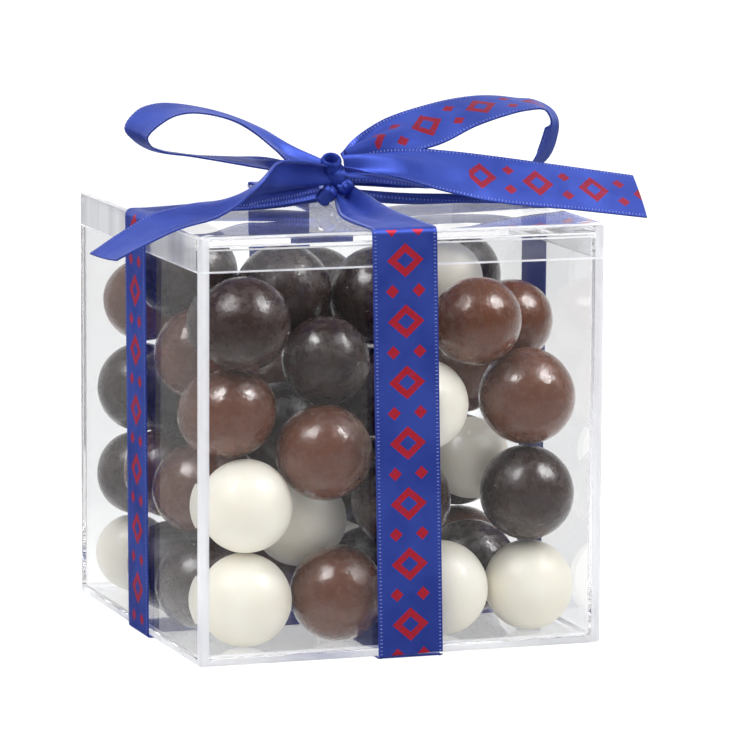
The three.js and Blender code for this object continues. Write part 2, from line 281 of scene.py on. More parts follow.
@dataclass(frozen=True)
class AcrylicFinish:
    """Clear moulded plastic with a few dust specks, polished on its faces. The edge variant is rough and
    painted pale, a painted highlight along the edges, and the left-skirt variant carries a streaky painted
    reflection.
    """

    name: str
    clearness: float = 1.0
    tint: Point = (0.985, 0.99, 0.995)
    frost: float = 0.0
    streak_tone: float = 1.0
    ior: float = 1.49
    streak_scale: float = 280.0
    streak_stretch: float = 0.06
    speck_scale: float = 130.0
    speck_size: float = 0.035
    speck_patches: float = 61.0
    wave_scale: float = 38.0
    wave_height: float = 0.00002

    def material(self) -> bpy.types.Material:
        """Builds the material; lamps and soft light pass straight through it."""
        wire = Wiring(self.name)
        cells = wire.node("ShaderNodeTexVoronoi")
        wire.put(cells.inputs["Vector"], wire.place())
        wire.put(cells.inputs["Scale"], self.speck_scale)
        speck = wire.ramp(cells.outputs["Distance"], self.speck_size, self.speck_size * 1.6, 0.5, 0.0)
        chosen = wire.math("GREATER_THAN", wire.grain(self.speck_patches), 0.6)
        rough = wire.math("MAXIMUM", wire.math("MULTIPLY", speck, chosen), self.frost)
        colour = (*self.tint, 1.0)
        # painted reflection: darker streaks in the pale colour, part of the painted reflection on the lid's
        # left skirt
        if self.streak_tone < 1:
            upright = wire.node("ShaderNodeVectorMath", operation="MULTIPLY")
            wire.put(upright.inputs[0], wire.place())
            wire.put(upright.inputs[1], (1.0, 1.0, self.streak_stretch))
            streaks = wire.ramp(wire.grain(self.streak_scale, 3.0, upright.outputs[0]), 0.3, 0.7)
            darker = (*(self.streak_tone * part for part in self.tint), 1.0)
            colour = wire.blend(streaks, colour, darker)
        clear = wire.principled(
            Base_Color=colour, Roughness=rough, IOR=self.ior, Transmission_Weight=self.clearness,
            Normal=wire.bump(wire.grain(self.wave_scale, 1.0), 0.6, self.wave_height),
        )
        path = wire.node("ShaderNodeLightPath")
        open_way = wire.node("ShaderNodeBsdfTransparent")
        soft = wire.either(path.outputs["Is Diffuse Ray"], clear, open_way)
        lamps = wire.either(path.outputs["Is Shadow Ray"], soft, open_way)
        return wire.finish(lamps.outputs[0])


@dataclass(frozen=True)
class ChocolateFinish:
    """Skin of one kind of chocolate ball."""

    name: str
    colour: Point
    bloom: Point
    roughness: float
    pit_height: float
    coat: float
    subsurface: float = 0.0
    coat_roughness: float = 0.11
    ior: float = 1.4
    scatter: Point = (0.0022, 0.0015, 0.0009)
    cloud_scale: float = 110.0
    ripple_scale: float = 260.0
    pit_scale: float = 1500.0
    shine_scale: float = 650.0

    def material(self) -> bpy.types.Material:
        """Builds the material: cloudy colour, fine pits and a hand-polished shine."""
        wire = Wiring(self.name)
        cloud = wire.ramp(wire.grain(self.cloud_scale, 3.0), 0.3, 0.8)
        colour = wire.blend(cloud, (*self.colour, 1.0), (*self.bloom, 1.0))
        ripple = wire.bump(wire.grain(self.ripple_scale, 1.0), 0.5, self.pit_height * 1.2)
        pits = wire.bump(wire.grain(self.pit_scale), 0.9, self.pit_height, ripple)
        least, most = self.roughness * 0.7, self.roughness * 1.4
        shine = wire.ramp(wire.grain(self.shine_scale, 3.0), 0.35, 0.7, least, most)
        skin = wire.principled(
            Base_Color=colour, Roughness=shine, Normal=pits, IOR=self.ior,
            Coat_Weight=self.coat, Coat_Roughness=self.coat_roughness, Coat_IOR=self.ior, Coat_Normal=pits,
            Subsurface_Weight=self.subsurface, Subsurface_Radius=self.scatter, Subsurface_Scale=1.0,
        )
        return wire.finish(skin.outputs[0])


@dataclass(frozen=True)
class SatinFinish:
    """Woven satin ribbon, plain or printed with a row of small lozenges."""

    name: str
    weave: Weave
    colour: Point = (0.041, 0.073, 0.37)
    shade: Point = (0.028, 0.05, 0.285)
    print_colour: Point = (0.42, 0.02, 0.032)
    gleam: tuple[float, float, float, float] = (0.4, 0.5, 1.0, 1.0)
    edge: float = 5.35
    pitch: float = 11.5
    lozenge: tuple[float, float] = (3.2, 3.6)
    lozenge_hole: tuple[float, float] = (1.5, 1.7)
    small_lozenge: tuple[float, float] = (1.3, 1.3)
    small_offset: float = 2.6
    twill: tuple[float, float] = (14.0, 21.0)
    rib: float = 16.0
    roughness: float = 0.42

    def lozenges(self, wire: Wiring, across: object, along: object) -> bpy.types.NodeSocket:
        """Mask of the printed row, one large and two small lozenges in each repeat.

        Args:
            wire: The material in the making.
            across: Millimetres from the ribbon's middle line.
            along: Millimetres along the ribbon.

        Returns:
            A socket that is one inside the print.
        """
        def spread(step: object, side: object, reach: tuple[float, float]) -> bpy.types.NodeSocket:
            """One on the outline of a lozenge with this reach along and across, and less inside it."""
            return wire.math("ADD", wire.math("DIVIDE", step, reach[0]), wire.math("DIVIDE", side, reach[1]))

        repeat = wire.math("SUBTRACT", wire.math("FRACT", wire.math("DIVIDE", along, self.pitch)), 0.5)
        step = wire.math("MULTIPLY", wire.math("ABSOLUTE", repeat), self.pitch)
        side = wire.math("ABSOLUTE", across)
        large = spread(step, side, self.lozenge)
        hollow = spread(step, side, self.lozenge_hole)
        offset = wire.math("ABSOLUTE", wire.math("SUBTRACT", side, self.small_offset))
        gap = wire.math("SUBTRACT", self.pitch / 2, step)
        small = spread(gap, offset, self.small_lozenge)
        outer = wire.math("LESS_THAN", large, 1.0)
        ring = wire.math("MULTIPLY", outer, wire.math("GREATER_THAN", hollow, 1.0))
        return wire.math("MAXIMUM", ring, wire.math("LESS_THAN", small, 1.0))

    def material(self) -> bpy.types.Material:
        """Builds the material: twill lines, firm selvedges and a shine along the threads."""
        wire = Wiring(self.name)
        chart = wire.node("ShaderNodeUVMap", uv_map=RIBBON_UV)
        split = wire.node("ShaderNodeSeparateXYZ")
        wire.put(split.inputs[0], chart.outputs["UV"])
        across, along = split.outputs["X"], split.outputs["Y"]
        tone = wire.ramp(wire.grain(90.0, 3.0), 0.35, 0.7)
        colour = wire.blend(tone, (*self.colour, 1.0), (*self.shade, 1.0))
        selvedge = wire.ramp(wire.math("ABSOLUTE", across), self.edge, self.edge + 0.3)
        colour = wire.blend(wire.math("MULTIPLY", selvedge, 0.35), colour, (*self.shade, 1.0))
        slants = [wire.math("MULTIPLY", side, rate) for side, rate in zip((across, along), self.twill)]
        twill = wire.math("SINE", wire.math("ADD", *slants))
        ribs = wire.math("MULTIPLY", wire.math("SINE", wire.math("MULTIPLY", along, self.rib)), selvedge)
        if self.weave is not Weave.PLAIN:
            ink = self.lozenges(wire, across, along)
            worn = wire.ramp(wire.grain(1700.0, 2.0), 0.25, 0.45, 0.7, 1.0)
            colour = wire.blend(wire.math("MULTIPLY", ink, worn), colour, (*self.print_colour, 1.0))
        threads = wire.bump(wire.math("ADD", twill, ribs), 0.25, 0.00002)
        direction = wire.node("ShaderNodeTangent", direction_type="UV_MAP", uv_map=RIBBON_UV)
        least, most = self.roughness * 0.85, self.roughness * 1.15
        rough = wire.ramp(wire.grain(240.0, 3.0), 0.3, 0.7, least, most)
        cloth = wire.principled(
            Base_Color=colour, Roughness=rough, Normal=threads, Metallic=0.25,
            Anisotropic=0.55, Tangent=direction.outputs[0],
            Specular_IOR_Level=0.15, Specular_Tint=self.gleam,
            Sheen_Weight=0.04, Sheen_Roughness=0.4, Sheen_Tint=self.gleam,
        )
        return wire.finish(cloth.outputs[0])


@dataclass(frozen=True)
class ThreadFinish:
    """Pale thread of the stitches along the ribbon's edges."""

    name: str = "selvedge_thread"
    colour: Point = (0.26, 0.32, 0.7)
    shade: Point = (0.12, 0.16, 0.48)

    def material(self) -> bpy.types.Material:
        """Builds the material."""
        wire = Wiring(self.name)
        tone = wire.ramp(wire.grain(2600.0, 2.0), 0.35, 0.65)
        colour = wire.blend(tone, (*self.colour, 1.0), (*self.shade, 1.0))
        thread = wire.principled(Base_Color=colour, Roughness=0.6, Sheen_Weight=0.2)
        return wire.finish(thread.outputs[0])


@dataclass(frozen=True)
class FloorFinish:
    """Plain white studio floor: it glows evenly where it is seen directly. Seen through the box its glow is
    painted unevenly, as a pool of light, and in reflections it is painted darker, as a table which ends a
    short way in front of the box.
    """

    name: str = "studio_floor"
    glow: float = 0.95
    mirrored_tone: float = 0.24
    beyond_tone: float = 0.03
    bounce_tone: float = 0.82
    foreground: float = 0.22
    near_side: float = -0.045
    table_front: float = -0.43
    left_share: float = 0.5
    sight: tuple[float, float] = (0.945, -0.326)
    glow_shares: tuple[float, float] = (1.08, 0.85)
    table_fade: float = 0.03
    left_fade: float = 0.04
    foreground_fade: float = 0.02
    glow_fade: float = 0.03

    def material(self) -> bpy.types.Material:
        """Builds the material: it lights the box as white paper does, and glows evenly where it is seen
        directly; seen through the box and in reflections its tone is painted light and shade.
        """
        wire = Wiring(self.name)
        path = wire.node("ShaderNodeLightPath")
        split = wire.node("ShaderNodeSeparateXYZ")
        wire.put(split.inputs[0], wire.place())
        right, back = split.outputs["X"], split.outputs["Y"]
        # painted reflection: in reflections the floor is darker, nearly black beyond the table's front edge
        # and darker still on the left
        table_end = self.table_front - self.table_fade
        table = wire.ramp(back, table_end, self.table_front, self.beyond_tone, self.mirrored_tone)
        left_side = wire.ramp(right, self.near_side - self.left_fade, self.near_side, self.left_share, 1.0)
        bounce = wire.math("MULTIPLY", path.outputs["Is Diffuse Ray"], self.bounce_tone)
        base = wire.math("MAXIMUM", bounce, wire.math("MULTIPLY", table, left_side))
        tone = wire.math("MULTIPLY", base, wire.ramp(wire.grain(3.0), 0.3, 0.7, 0.98, 1.0))
        # painted light: seen through the box, the floor's glow is dimmed in front of and to the left of the
        # box, and brighter on the left of the view than on the right
        edge = self.near_side - self.foreground_fade
        behind = [wire.ramp(side, edge, self.near_side, self.foreground, 1.0) for side in (right, back)]
        sideways = [wire.math("MULTIPLY", side, part) for side, part in zip((right, back), self.sight)]
        painted_falloff = wire.ramp(wire.math("ADD", *sideways), -self.glow_fade, self.glow_fade, *self.glow_shares)
        shown = wire.math("MULTIPLY", wire.math("MINIMUM", *behind), painted_falloff)
        through = wire.math("MULTIPLY", path.outputs["Is Transmission Ray"], shown)
        seen = wire.math("MAXIMUM", path.outputs["Is Camera Ray"], through)
        glow = wire.math("MULTIPLY", seen, self.glow)
        floor = wire.principled(
            Base_Color=tone, Roughness=0.9, Specular_IOR_Level=0.0,
            Emission_Color=(1.0, 1.0, 1.0, 1.0), Emission_Strength=glow,
        )
        return wire.finish(floor.outputs[0])


def new_piece(name: str, mesh: bpy.types.Mesh, materials: Sequence[bpy.types.Material]) -> bpy.types.Object:
    """Links a mesh as a smooth object at the origin.

    Args:
        name: Name of the piece.
        mesh: Its mesh, in the shared frame.
        materials: Its materials, in slot order.

    Returns:
        The new object.
    """
    piece = bpy.data.objects.new(name, mesh)
    bpy.context.scene.collection.objects.link(piece)
    for material in materials:
        mesh.materials.append(material)
    mesh.shade_smooth()
    return piece


def settle_piece(piece: bpy.types.Object, body: Body, slot: str, *nodes: str) -> bpy.types.Object:
    """Rides a piece on its body and hides the solids that it stands for.

    Args:
        piece: The finished piece.
        body: The body that carries it.
        slot: The record's material slot; not used.
        nodes: CAD nodes that it stands for.

    Returns:
        The same piece.
    """
    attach(piece, body.value)
    if nodes:
        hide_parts(*nodes)
    LOG.info("%s: %d faces on %s", piece.name, len(piece.data.polygons), body.value)
    return piece


class Corner(NamedTuple):
    """Corner of a moulded wall's section, in millimetres."""

    half: float
    height: float
    fillet: float = 0.0


@dataclass
class MouldedBox:
    """Clear base and lid, each one moulded wall drawn as a profile carried round a square."""

    side: float = BOX_SIDE
    bottom: float = BOX_BOTTOM
    height: float = BOX_HEIGHT
    wall: float = 2.0
    floor: float = 1.2
    corner: float = 1.0
    corner_loss: float = 0.6
    least_corner: float = 0.35
    lid_height: float = 6.6
    lid_plate: float = 1.8
    lip: float = 0.9
    lid_fit: float = 0.2
    lip_gap: float = 0.7
    flat_inset: float = 3.0
    floor_band: float = 0.2
    foot_fillet: float = 0.6
    step_fillet: float = 0.15
    lip_root_fillet: float = 0.1
    lip_fillet: float = 0.25
    floor_fillet: float = 0.8
    plate_fillet: float = 0.3
    lid_fillet: float = 0.45
    corner_steps: int = 8
    fillet_steps: int = 4
    narrow: float = 1.2
    seam: float = 1.0
    base_finish: AcrylicFinish = AcrylicFinish("clear_acrylic")
    lid_finish: AcrylicFinish = AcrylicFinish("clear_acrylic_lid", 0.965)
    # painted highlight: the fillets, narrow faces and corner strips are painted pale and partly diffuse,
    # standing in for light caught along the edges
    edge_highlight_finish: AcrylicFinish = AcrylicFinish("clear_acrylic_edge_highlight", 0.6, (0.91, 0.92, 0.96), 0.35)
    # painted reflection: pale, streaky and partly diffuse, it stands in for the bright reflection on the
    # lid's left skirt
    left_skirt_reflection_finish: AcrylicFinish = AcrylicFinish("clear_acrylic_painted_reflection", 0.45, (0.9, 0.91, 0.95), 0.22, 0.8)

    @property
    def half(self) -> float:
        """Half the outer width."""
        return self.side / 2

    @property
    def lid_top(self) -> float:
        """Height of the lid's top face."""
        return self.bottom + self.height

    @property
    def shoulder(self) -> float:
        """Height of the step that carries the lid."""
        return self.lid_top - self.lid_height

    def ring(self, half: float, radius: float, height: float) -> np.ndarray:
        """Points round a square with rounded corners and a narrow seam on both sides of each corner.

        Args:
            half: Half the square's width.
            radius: Corner radius.
            height: Height of the ring.

        Returns:
            One row for each point.
        """
        points = []
        for quarter in range(4):
            centre_angle = math.pi / 4 + quarter * math.pi / 2
            centre = np.sign([math.cos(centre_angle), math.sin(centre_angle)]) * (half - radius)
            start = quarter * math.pi / 2
            ahead = np.array([math.cos(start), math.sin(start)])
            aside = np.array([-math.sin(start), math.cos(start)])
            points.append((*(centre + radius * ahead - self.seam * aside), height))
            for step in range(self.corner_steps + 1):
                turn = step / self.corner_steps * math.pi / 2
                way = ahead * math.cos(turn) + aside * math.sin(turn)
                points.append((*(centre + radius * way), height))
            points.append((*(centre + radius * aside - self.seam * ahead), height))
        return np.array(points)

    def corner_radius(self, half: float) -> float:
        """Radius of the upright corners of a ring: it shrinks from the wall's outside to its inside."""
        if half <= self.half - self.wall - SAME:
            return self.corner
        return max(self.corner - self.corner_loss * (self.half - half), self.least_corner)

    def rounded(self, profile: Sequence[Corner]) -> list[tuple[float, float]]:
        """Rounds the corners of a wall's profile.

        Args:
            profile: The corners.

        Returns:
            Half width and height of each ring.
        """
        points = [profile[0][:2]]
        for before, here, after in zip(profile, profile[1:], profile[2:]):
            if not here.fillet:
                points.append(here[:2])
                continue
            at = np.array(here[:2])
            back, ahead = np.array(before[:2]) - at, np.array(after[:2]) - at
            back, ahead = back / np.linalg.norm(back), ahead / np.linalg.norm(ahead)
            for step in range(self.fillet_steps + 1):
                turn = step / self.fillet_steps * math.pi / 2
                inwards = back * (1 - math.sin(turn)) + ahead * (1 - math.cos(turn))
                points.append(tuple(at + here.fillet * inwards))
        return [*points, profile[-1][:2]]

    def mould(self, name: str, profile: Sequence[Corner], painted_reflection: bool) -> bpy.types.Mesh:
        """Carries a profile round the square and closes its two ends.

        Args:
            name: Name of the mesh.
            profile: Corners of the wall's section, from the outer middle to the inner middle.
            painted_reflection: True where the outside of the left wall gets a pale, streaky painted
                reflection.

        Returns:
            The closed mesh.
        """
        section = self.rounded(profile)
        rings = [self.ring(half, self.corner_radius(half), height) for half, height in section]
        count = len(rings[0])
        faces = [[*range(count)][::-1]]
        slots = [AcrylicSlot.FACE]
        around = self.corner_steps + 3
        for row, (start, end) in enumerate(zip(section, section[1:])):
            thin = math.dist(start, end) < self.narrow
            outer = min(start[0], end[0]) > self.half - SAME
            below, above = row * count, (row + 1) * count
            for k in range(count):
                nxt = (k + 1) % count
                faces.append([below + k, below + nxt, above + nxt, above + k])
                quarter, step = divmod(k, around)
                corner = 0 < step < around - 2
                seam = outer and step == (0 if quarter % 2 else around - 2)
                # painted reflection on the outside of the lid's left wall
                reflecting = painted_reflection and outer and quarter == 1
                # fillets, narrow faces, corner arcs and the strips beside each corner get the pale edge
                # material, a painted highlight
                if thin or corner or seam:
                    slots.append(AcrylicSlot.EDGE)
                else:
                    slots.append(AcrylicSlot.REFLECTION if reflecting else AcrylicSlot.FACE)
        faces.append([(len(rings) - 1) * count + k for k in range(count)])
        slots.append(AcrylicSlot.FACE)
        mesh = bpy.data.meshes.new(name)
        mesh.from_pydata((np.concatenate(rings) * MM).tolist(), [], faces)
        mesh.polygons.foreach_set("material_index", [slot.value for slot in slots])
        return mesh

    def base_profile(self) -> list[Corner]:
        """Section of the base: outer wall, shoulder, lip, inner wall and floor."""
        inner = self.half - self.wall
        lip_outside = inner + self.lip
        lip_top = self.lid_top - self.lid_plate - self.lip_gap
        floor = self.bottom + self.floor
        return [
            Corner(self.half - self.flat_inset, self.bottom),
            Corner(self.half, self.bottom, self.foot_fillet),
            Corner(self.half, floor + self.floor_band),
            Corner(self.half, self.shoulder, self.step_fillet),
            Corner(lip_outside, self.shoulder, self.lip_root_fillet),
            Corner(lip_outside, lip_top, self.lip_fillet),
            Corner(inner, lip_top, self.lip_fillet),
            Corner(inner, floor, self.floor_fillet),
            Corner(inner - self.flat_inset, floor),
        ]

    def lid_profile(self) -> list[Corner]:
        """Section of the lid: inner plate, skirt and top plate."""
        skirt = self.half - self.wall + self.lip + self.lid_fit
        plate = self.lid_top - self.lid_plate
        return [
            Corner(skirt - self.flat_inset, plate),
            Corner(skirt, plate, self.plate_fillet),
            Corner(skirt, self.shoulder, self.step_fillet),
            Corner(self.half, self.shoulder, self.step_fillet),
            Corner(self.half, self.lid_top, self.lid_fillet),
            Corner(self.half - self.flat_inset, self.lid_top),
        ]

    def build(self) -> list[bpy.types.Object]:
        """Makes the base and the lid.

        Returns:
            Both pieces.
        """
        base, lid = self.base_finish.material(), self.lid_finish.material()
        edge, painted_reflection = self.edge_highlight_finish.material(), self.left_skirt_reflection_finish.material()
        pieces = []
        for name, profile, body, node, acrylic in (
            ("clear_base", self.base_profile(), Body.BOX, "box_base", (base, edge)),
            ("clear_lid", self.lid_profile(), Body.LID, "lid", (lid, edge, painted_reflection)),
        ):
            piece = new_piece(name, self.mould(name, profile, body is Body.LID), acrylic)
            keep_walls_flat(piece.data)
            pieces.append(settle_piece(piece, body, "clear_plastic", node))
        return pieces


def keep_walls_flat(mesh: bpy.types.Mesh) -> None:
    """Points each corner's normal along the widest faces there, so that only the fillets bend light.

    Args:
        mesh: A closed mesh with fillets along its edges.
    """
    shaped = bmesh.new()
    shaped.from_mesh(mesh)
    bmesh.ops.recalc_face_normals(shaped, faces=shaped.faces)
    for face in shaped.faces:
        face.smooth = True
    normals = []
    for vertex in shaped.verts:
        way = sum((face.normal * face.calc_area() for face in vertex.link_faces), Vector())
        normals.append(way.normalized())
    shaped.to_mesh(mesh)
    shaped.free()
    mesh.normals_split_custom_set_from_vertices(normals)


def shade_by_angle(mesh: bpy.types.Mesh, angle: float) -> None:
    """Shades a mesh smooth except at edges sharper than an angle.

    Args:
        mesh: The mesh.
        angle: Largest smooth turn, in radians.
    """
    shaped = bmesh.new()
    shaped.from_mesh(mesh)
    bmesh.ops.recalc_face_normals(shaped, faces=shaped.faces)
    for face in shaped.faces:
        face.smooth = True
    for edge in shaped.edges:
        edge.smooth = edge.calc_face_angle(math.pi) < angle
    shaped.to_mesh(mesh)
    shaped.free()


@dataclass
class Chocolates:
    """The loose balls, each a slightly lumpy and slightly flattened sphere."""

    facet_share: float = 0.978
    lump: float = 0.011
    lump_sizes: tuple[float, float] = (1.1, 2.6)
    fine_share: float = 0.35
    lump_level: float = 0.6
    lump_drift: Point = (3.1, 1.7, 2.3)
    flatten: tuple[float, float] = (0.01, 0.055)
    detail: int = 5
    stack_balls: int = 3
    stack_drift: float = 0.37
    random_seed: int = 11
    finishes: dict[Flavour, ChocolateFinish] = field(default_factory=lambda: {
        Flavour.WHITE: ChocolateFinish(
            "white_chocolate", colour=(0.88, 0.84, 0.72), bloom=(0.94, 0.91, 0.82),
            roughness=0.5, pit_height=0.00004, coat=0.05, subsurface=0.12,
        ),
        Flavour.MILK: ChocolateFinish(
            "milk_chocolate", colour=(0.118, 0.038, 0.018), bloom=(0.14, 0.05, 0.026),
            roughness=0.25, pit_height=0.00009, coat=0.95,
        ),
        Flavour.DARK: ChocolateFinish(
            "dark_chocolate", colour=(0.029, 0.013, 0.011), bloom=(0.036, 0.018, 0.015),
            roughness=0.28, pit_height=0.00009, coat=0.6,
        ),
    })

    def ball(self, name: str, centre: Vector, radius: float, seed: float) -> bpy.types.Mesh:
        """Makes one ball.

        Args:
            name: Name of the mesh.
            centre: Its middle.
            radius: Its radius.
            seed: A number that sets its lumps.

        Returns:
            The mesh.
        """
        mesh = bpy.data.meshes.new(name)
        shaped = bmesh.new()
        bmesh.ops.create_icosphere(shaped, subdivisions=self.detail, radius=1.0)
        axis = noise.random_unit_vector()
        least, most = self.flatten
        flatness = least + (most - least) * noise.random()
        shift = Vector([seed * part for part in self.lump_drift])
        coarse, fine = self.lump_sizes
        for vertex in shaped.verts:
            way = vertex.co.normalized()
            swell = noise.noise(way * coarse + shift) + self.fine_share * noise.noise(way * fine + shift)
            flat = 1.0 - flatness * abs(way.dot(axis)) ** 2
            vertex.co = centre + way * radius * (flat - self.lump * (self.lump_level - swell))
        shaped.to_mesh(mesh)
        shaped.free()
        return mesh

    def build(self) -> list[bpy.types.Object]:
        """Makes every ball in the place of its solid.

        Returns:
            The pieces.
        """
        noise.seed_set(self.random_seed)
        skins = {flavour: finish.material() for flavour, finish in self.finishes.items()}
        pieces = []
        for index, node in enumerate(sorted(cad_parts)):
            if "_ball_" not in node and not node.endswith("_inner_stack"):
                continue
            flavour = Flavour(node.split("_")[0])
            low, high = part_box(node)
            radius = (high.x - low.x) / 2 / self.facet_share
            middle = (low + high) / 2
            places = [middle]
            if node.endswith("_inner_stack"):
                pitch = (high.z - low.z - (high.x - low.x)) / (self.stack_balls - 1)
                steps = [k - (self.stack_balls - 1) / 2 for k in range(self.stack_balls)]
                places = [Vector((middle.x, middle.y, middle.z + step * pitch)) for step in steps]
                radius = pitch / 2
            for number, place in enumerate(places):
                name = f"{node}_chocolate" if len(places) == 1 else f"{node}_chocolate_{number + 1}"
                mesh = self.ball(name, place, radius, index + self.stack_drift * number)
                piece = new_piece(name, mesh, [skins[flavour]])
                pieces.append(settle_piece(piece, Body.BOX, f"{flavour.value}_chocolate", node))
        return pieces


@dataclass(frozen=True)
class Station:
    """One place along a ribbon stretch, in millimetres from the middle of the lid's top."""

    at: Point
    across: Point
    width: float = RIBBON_WIDTH


def distance_along(line: np.ndarray) -> np.ndarray:
    """Distance from a line's first point to each of its points, along the line."""
    return np.concatenate([[0.0], np.linalg.norm(np.diff(line, axis=0), axis=1).cumsum()])


def curve_through(points: np.ndarray, steps: int) -> np.ndarray:
    """Smooth curve through rows of points, with even care for near and far neighbours.

    Args:
        points: One row for each point.
        steps: Samples from each point to the next.

    Returns:
        One row for each sample.
    """
    ends = np.vstack([2 * points[0] - points[1], points, 2 * points[-1] - points[-2]])
    spans = np.maximum(np.linalg.norm(np.diff(ends[:, :3], axis=0), axis=1), 1e-6)
    knots = np.concatenate([[0], np.cumsum(spans ** 0.5)])

    def between(first: np.ndarray, second: np.ndarray, low: int, high: int, at: float) -> np.ndarray:
        """Row at a place between two knots, which hold the first and the second row."""
        return first + (second - first) * (at - knots[low]) / (knots[high] - knots[low])

    rows = []
    for i in range(1, len(ends) - 2):
        for step in range(steps + (i == len(ends) - 3)):
            at = knots[i] + (knots[i + 1] - knots[i]) * step / steps
            near = [between(ends[j], ends[j + 1], j, j + 1, at) for j in (i - 1, i, i + 1)]
            mid = [between(near[k], near[k + 1], i - 1 + k, i + 1 + k, at) for k in (0, 1)]
            rows.append(between(*mid, i, i + 1, at))
    return np.array(rows)


@dataclass
class RibbonStretch:
    """One stretch of the ribbon, swept through its stations and gathered where it is narrow."""

    name: str
    stations: Sequence[Station]
    node: str
    body: Body
    ink: Weave = Weave.PRINTED
    printed_face: int = 1
    printed_span: tuple[float, float] = (0.0, 0.0)
    print_shift: float = 0.0
    pleats: float = 3.0
    gather: float = 0.6
    cup: float = 0.25
    held: str = "stretched"
    rests_on: tuple[str, ...] = ("lid",)
    full: float = RIBBON_WIDTH
    thickness: float = 0.3
    steps: int = 8
    ease: int = 4
    across_steps: int = 18
    sharp: float = math.radians(50)
    lid_top: float = LID_TOP

    def rings(self) -> tuple[np.ndarray, np.ndarray, np.ndarray]:
        """Middle line, direction across and width at each ring.

        Returns:
            Points, unit directions and widths.
        """
        rows = np.array([(*s.at, *s.across, s.width) for s in self.stations], float)
        fine = curve_through(rows, self.steps)
        middle = fine[:, :3] + (0, 0, self.lid_top)
        along = np.gradient(middle, axis=0)
        along /= np.linalg.norm(along, axis=1)[:, None]
        across = fine[:, 3:6]
        across = across - along * np.sum(across * along, axis=1)[:, None]
        across /= np.linalg.norm(across, axis=1)[:, None]
        widths = np.pad(np.clip(fine[:, 6], 1.0, self.full), self.ease, mode="edge")
        share = np.ones(2 * self.ease + 1) / (2 * self.ease + 1)
        return middle, across, np.convolve(widths, share, "valid")

    def section(self, width: float) -> tuple[np.ndarray, np.ndarray]:
        """Cross-section of the gathered ribbon.

        Args:
            width: Its span there.

        Returns:
            Offsets across and offsets off the face.
        """
        s = np.linspace(-1, 1, self.across_steps + 1)
        target = width + (self.full - width) * self.gather
        wave, arch = np.cos(math.pi * self.pleats * s / 2), 1 - s ** 2
        low, high = 0.0, self.full
        for _ in range(30):
            mid = (low + high) / 2
            length = np.sum(np.hypot(np.diff(s) * width / 2, np.diff(wave) * mid))
            low, high = (mid, high) if length < target else (low, mid)
        cup = self.cup * (width / self.full) ** 2
        return s * width / 2, (wave - wave.mean()) * low + (arch - arch.mean()) * cup

    def surface(self) -> tuple[np.ndarray, np.ndarray]:
        """Middle surface of the ribbon.

        Returns:
            Points as ring by place across, and the matching face normals.
        """
        middle, across, widths = self.rings()
        along = np.gradient(middle, axis=0)
        normal = np.cross(along, across)
        normal /= np.linalg.norm(normal, axis=1)[:, None]
        points = []
        for ring in range(len(middle)):
            side, off = self.section(widths[ring])
            points.append(middle[ring] + side[:, None] * across[ring] + off[:, None] * normal[ring])
        points = np.array(points)
        du, dv = np.gradient(points, axis=1), np.gradient(points, axis=0)
        facing = np.cross(dv, du)
        return points, facing / np.linalg.norm(facing, axis=2)[:, :, None]

    def selvedges(self, pitch: float, inset: float, lift: float) -> list[np.ndarray]:
        """Short lines across both edges, on both faces, one for each stitch.

        Args:
            pitch: Distance from stitch to stitch, in millimetres.
            inset: Distance of a stitch's middle from the edge, in millimetres.
            lift: Height over the middle surface, in millimetres.

        Returns:
            The middle of each stitch and a point further in, in metres.
        """
        points, facing = self.surface()
        lines = []
        for edge, inner in ((0, 1), (-1, -2)):
            way = points[:, inner] - points[:, edge]
            way /= np.linalg.norm(way, axis=1)[:, None]
            length = distance_along(points[:, edge])
            at = np.arange(pitch / 2, length[-1], pitch)
            for face in (-1, 1):
                middle = points[:, edge] + way * inset + facing[:, edge] * face * lift
                starts, ends = (
                    np.stack([np.interp(at, length, line[:, axis]) for axis in range(3)], -1) * MM
                    for line in (middle, middle + way * inset)
                )
                lines += list(np.stack([starts, ends], 1))
        return lines

    def mesh(self) -> bpy.types.Mesh:
        """Closed mesh of the stretch with its flat chart.

        Returns:
            The mesh; its second material is on the printed face.
        """
        points, facing = self.surface()
        rows, columns = points.shape[:2]
        along = distance_along(points.mean(axis=1))
        flat = np.linspace(-self.full / 2, self.full / 2, columns)
        layers = [points - facing * self.thickness / 2, points + facing * self.thickness / 2]
        vertices = np.concatenate([layer.reshape(-1, 3) for layer in layers]) * MM
        count = rows * columns
        faces, slots = [], []
        for r in range(rows - 1):
            inked = self.printed_span[0] <= along[r] < self.printed_span[1]
            for c in range(columns - 1):
                a, b = r * columns + c, (r + 1) * columns + c
                faces += [[a, a + 1, b + 1, b], [count + a, count + b, count + b + 1, count + a + 1]]
                slots += [int(inked and self.printed_face == face) for face in (0, 1)]
        rim = [r * columns for r in range(rows)]
        rim += [(rows - 1) * columns + c for c in range(1, columns)]
        rim += [r * columns + columns - 1 for r in range(rows - 2, -1, -1)]
        rim += range(columns - 2, 0, -1)
        for k, a in enumerate(rim):
            b = rim[(k + 1) % len(rim)]
            faces.append([a, b, count + b, count + a])
            slots.append(0)
        mesh = bpy.data.meshes.new(self.name)
        mesh.from_pydata(vertices.tolist(), [], faces)
        mesh.polygons.foreach_set("material_index", slots)
        chart = mesh.uv_layers.new(name=RIBBON_UV)
        corner = np.zeros(len(mesh.loops), int)
        mesh.loops.foreach_get("vertex_index", corner)
        ring, place = np.divmod(corner % count, columns)
        chart.data.foreach_set("uv", np.stack([flat[place], along[ring] + self.print_shift], 1).ravel())
        return mesh

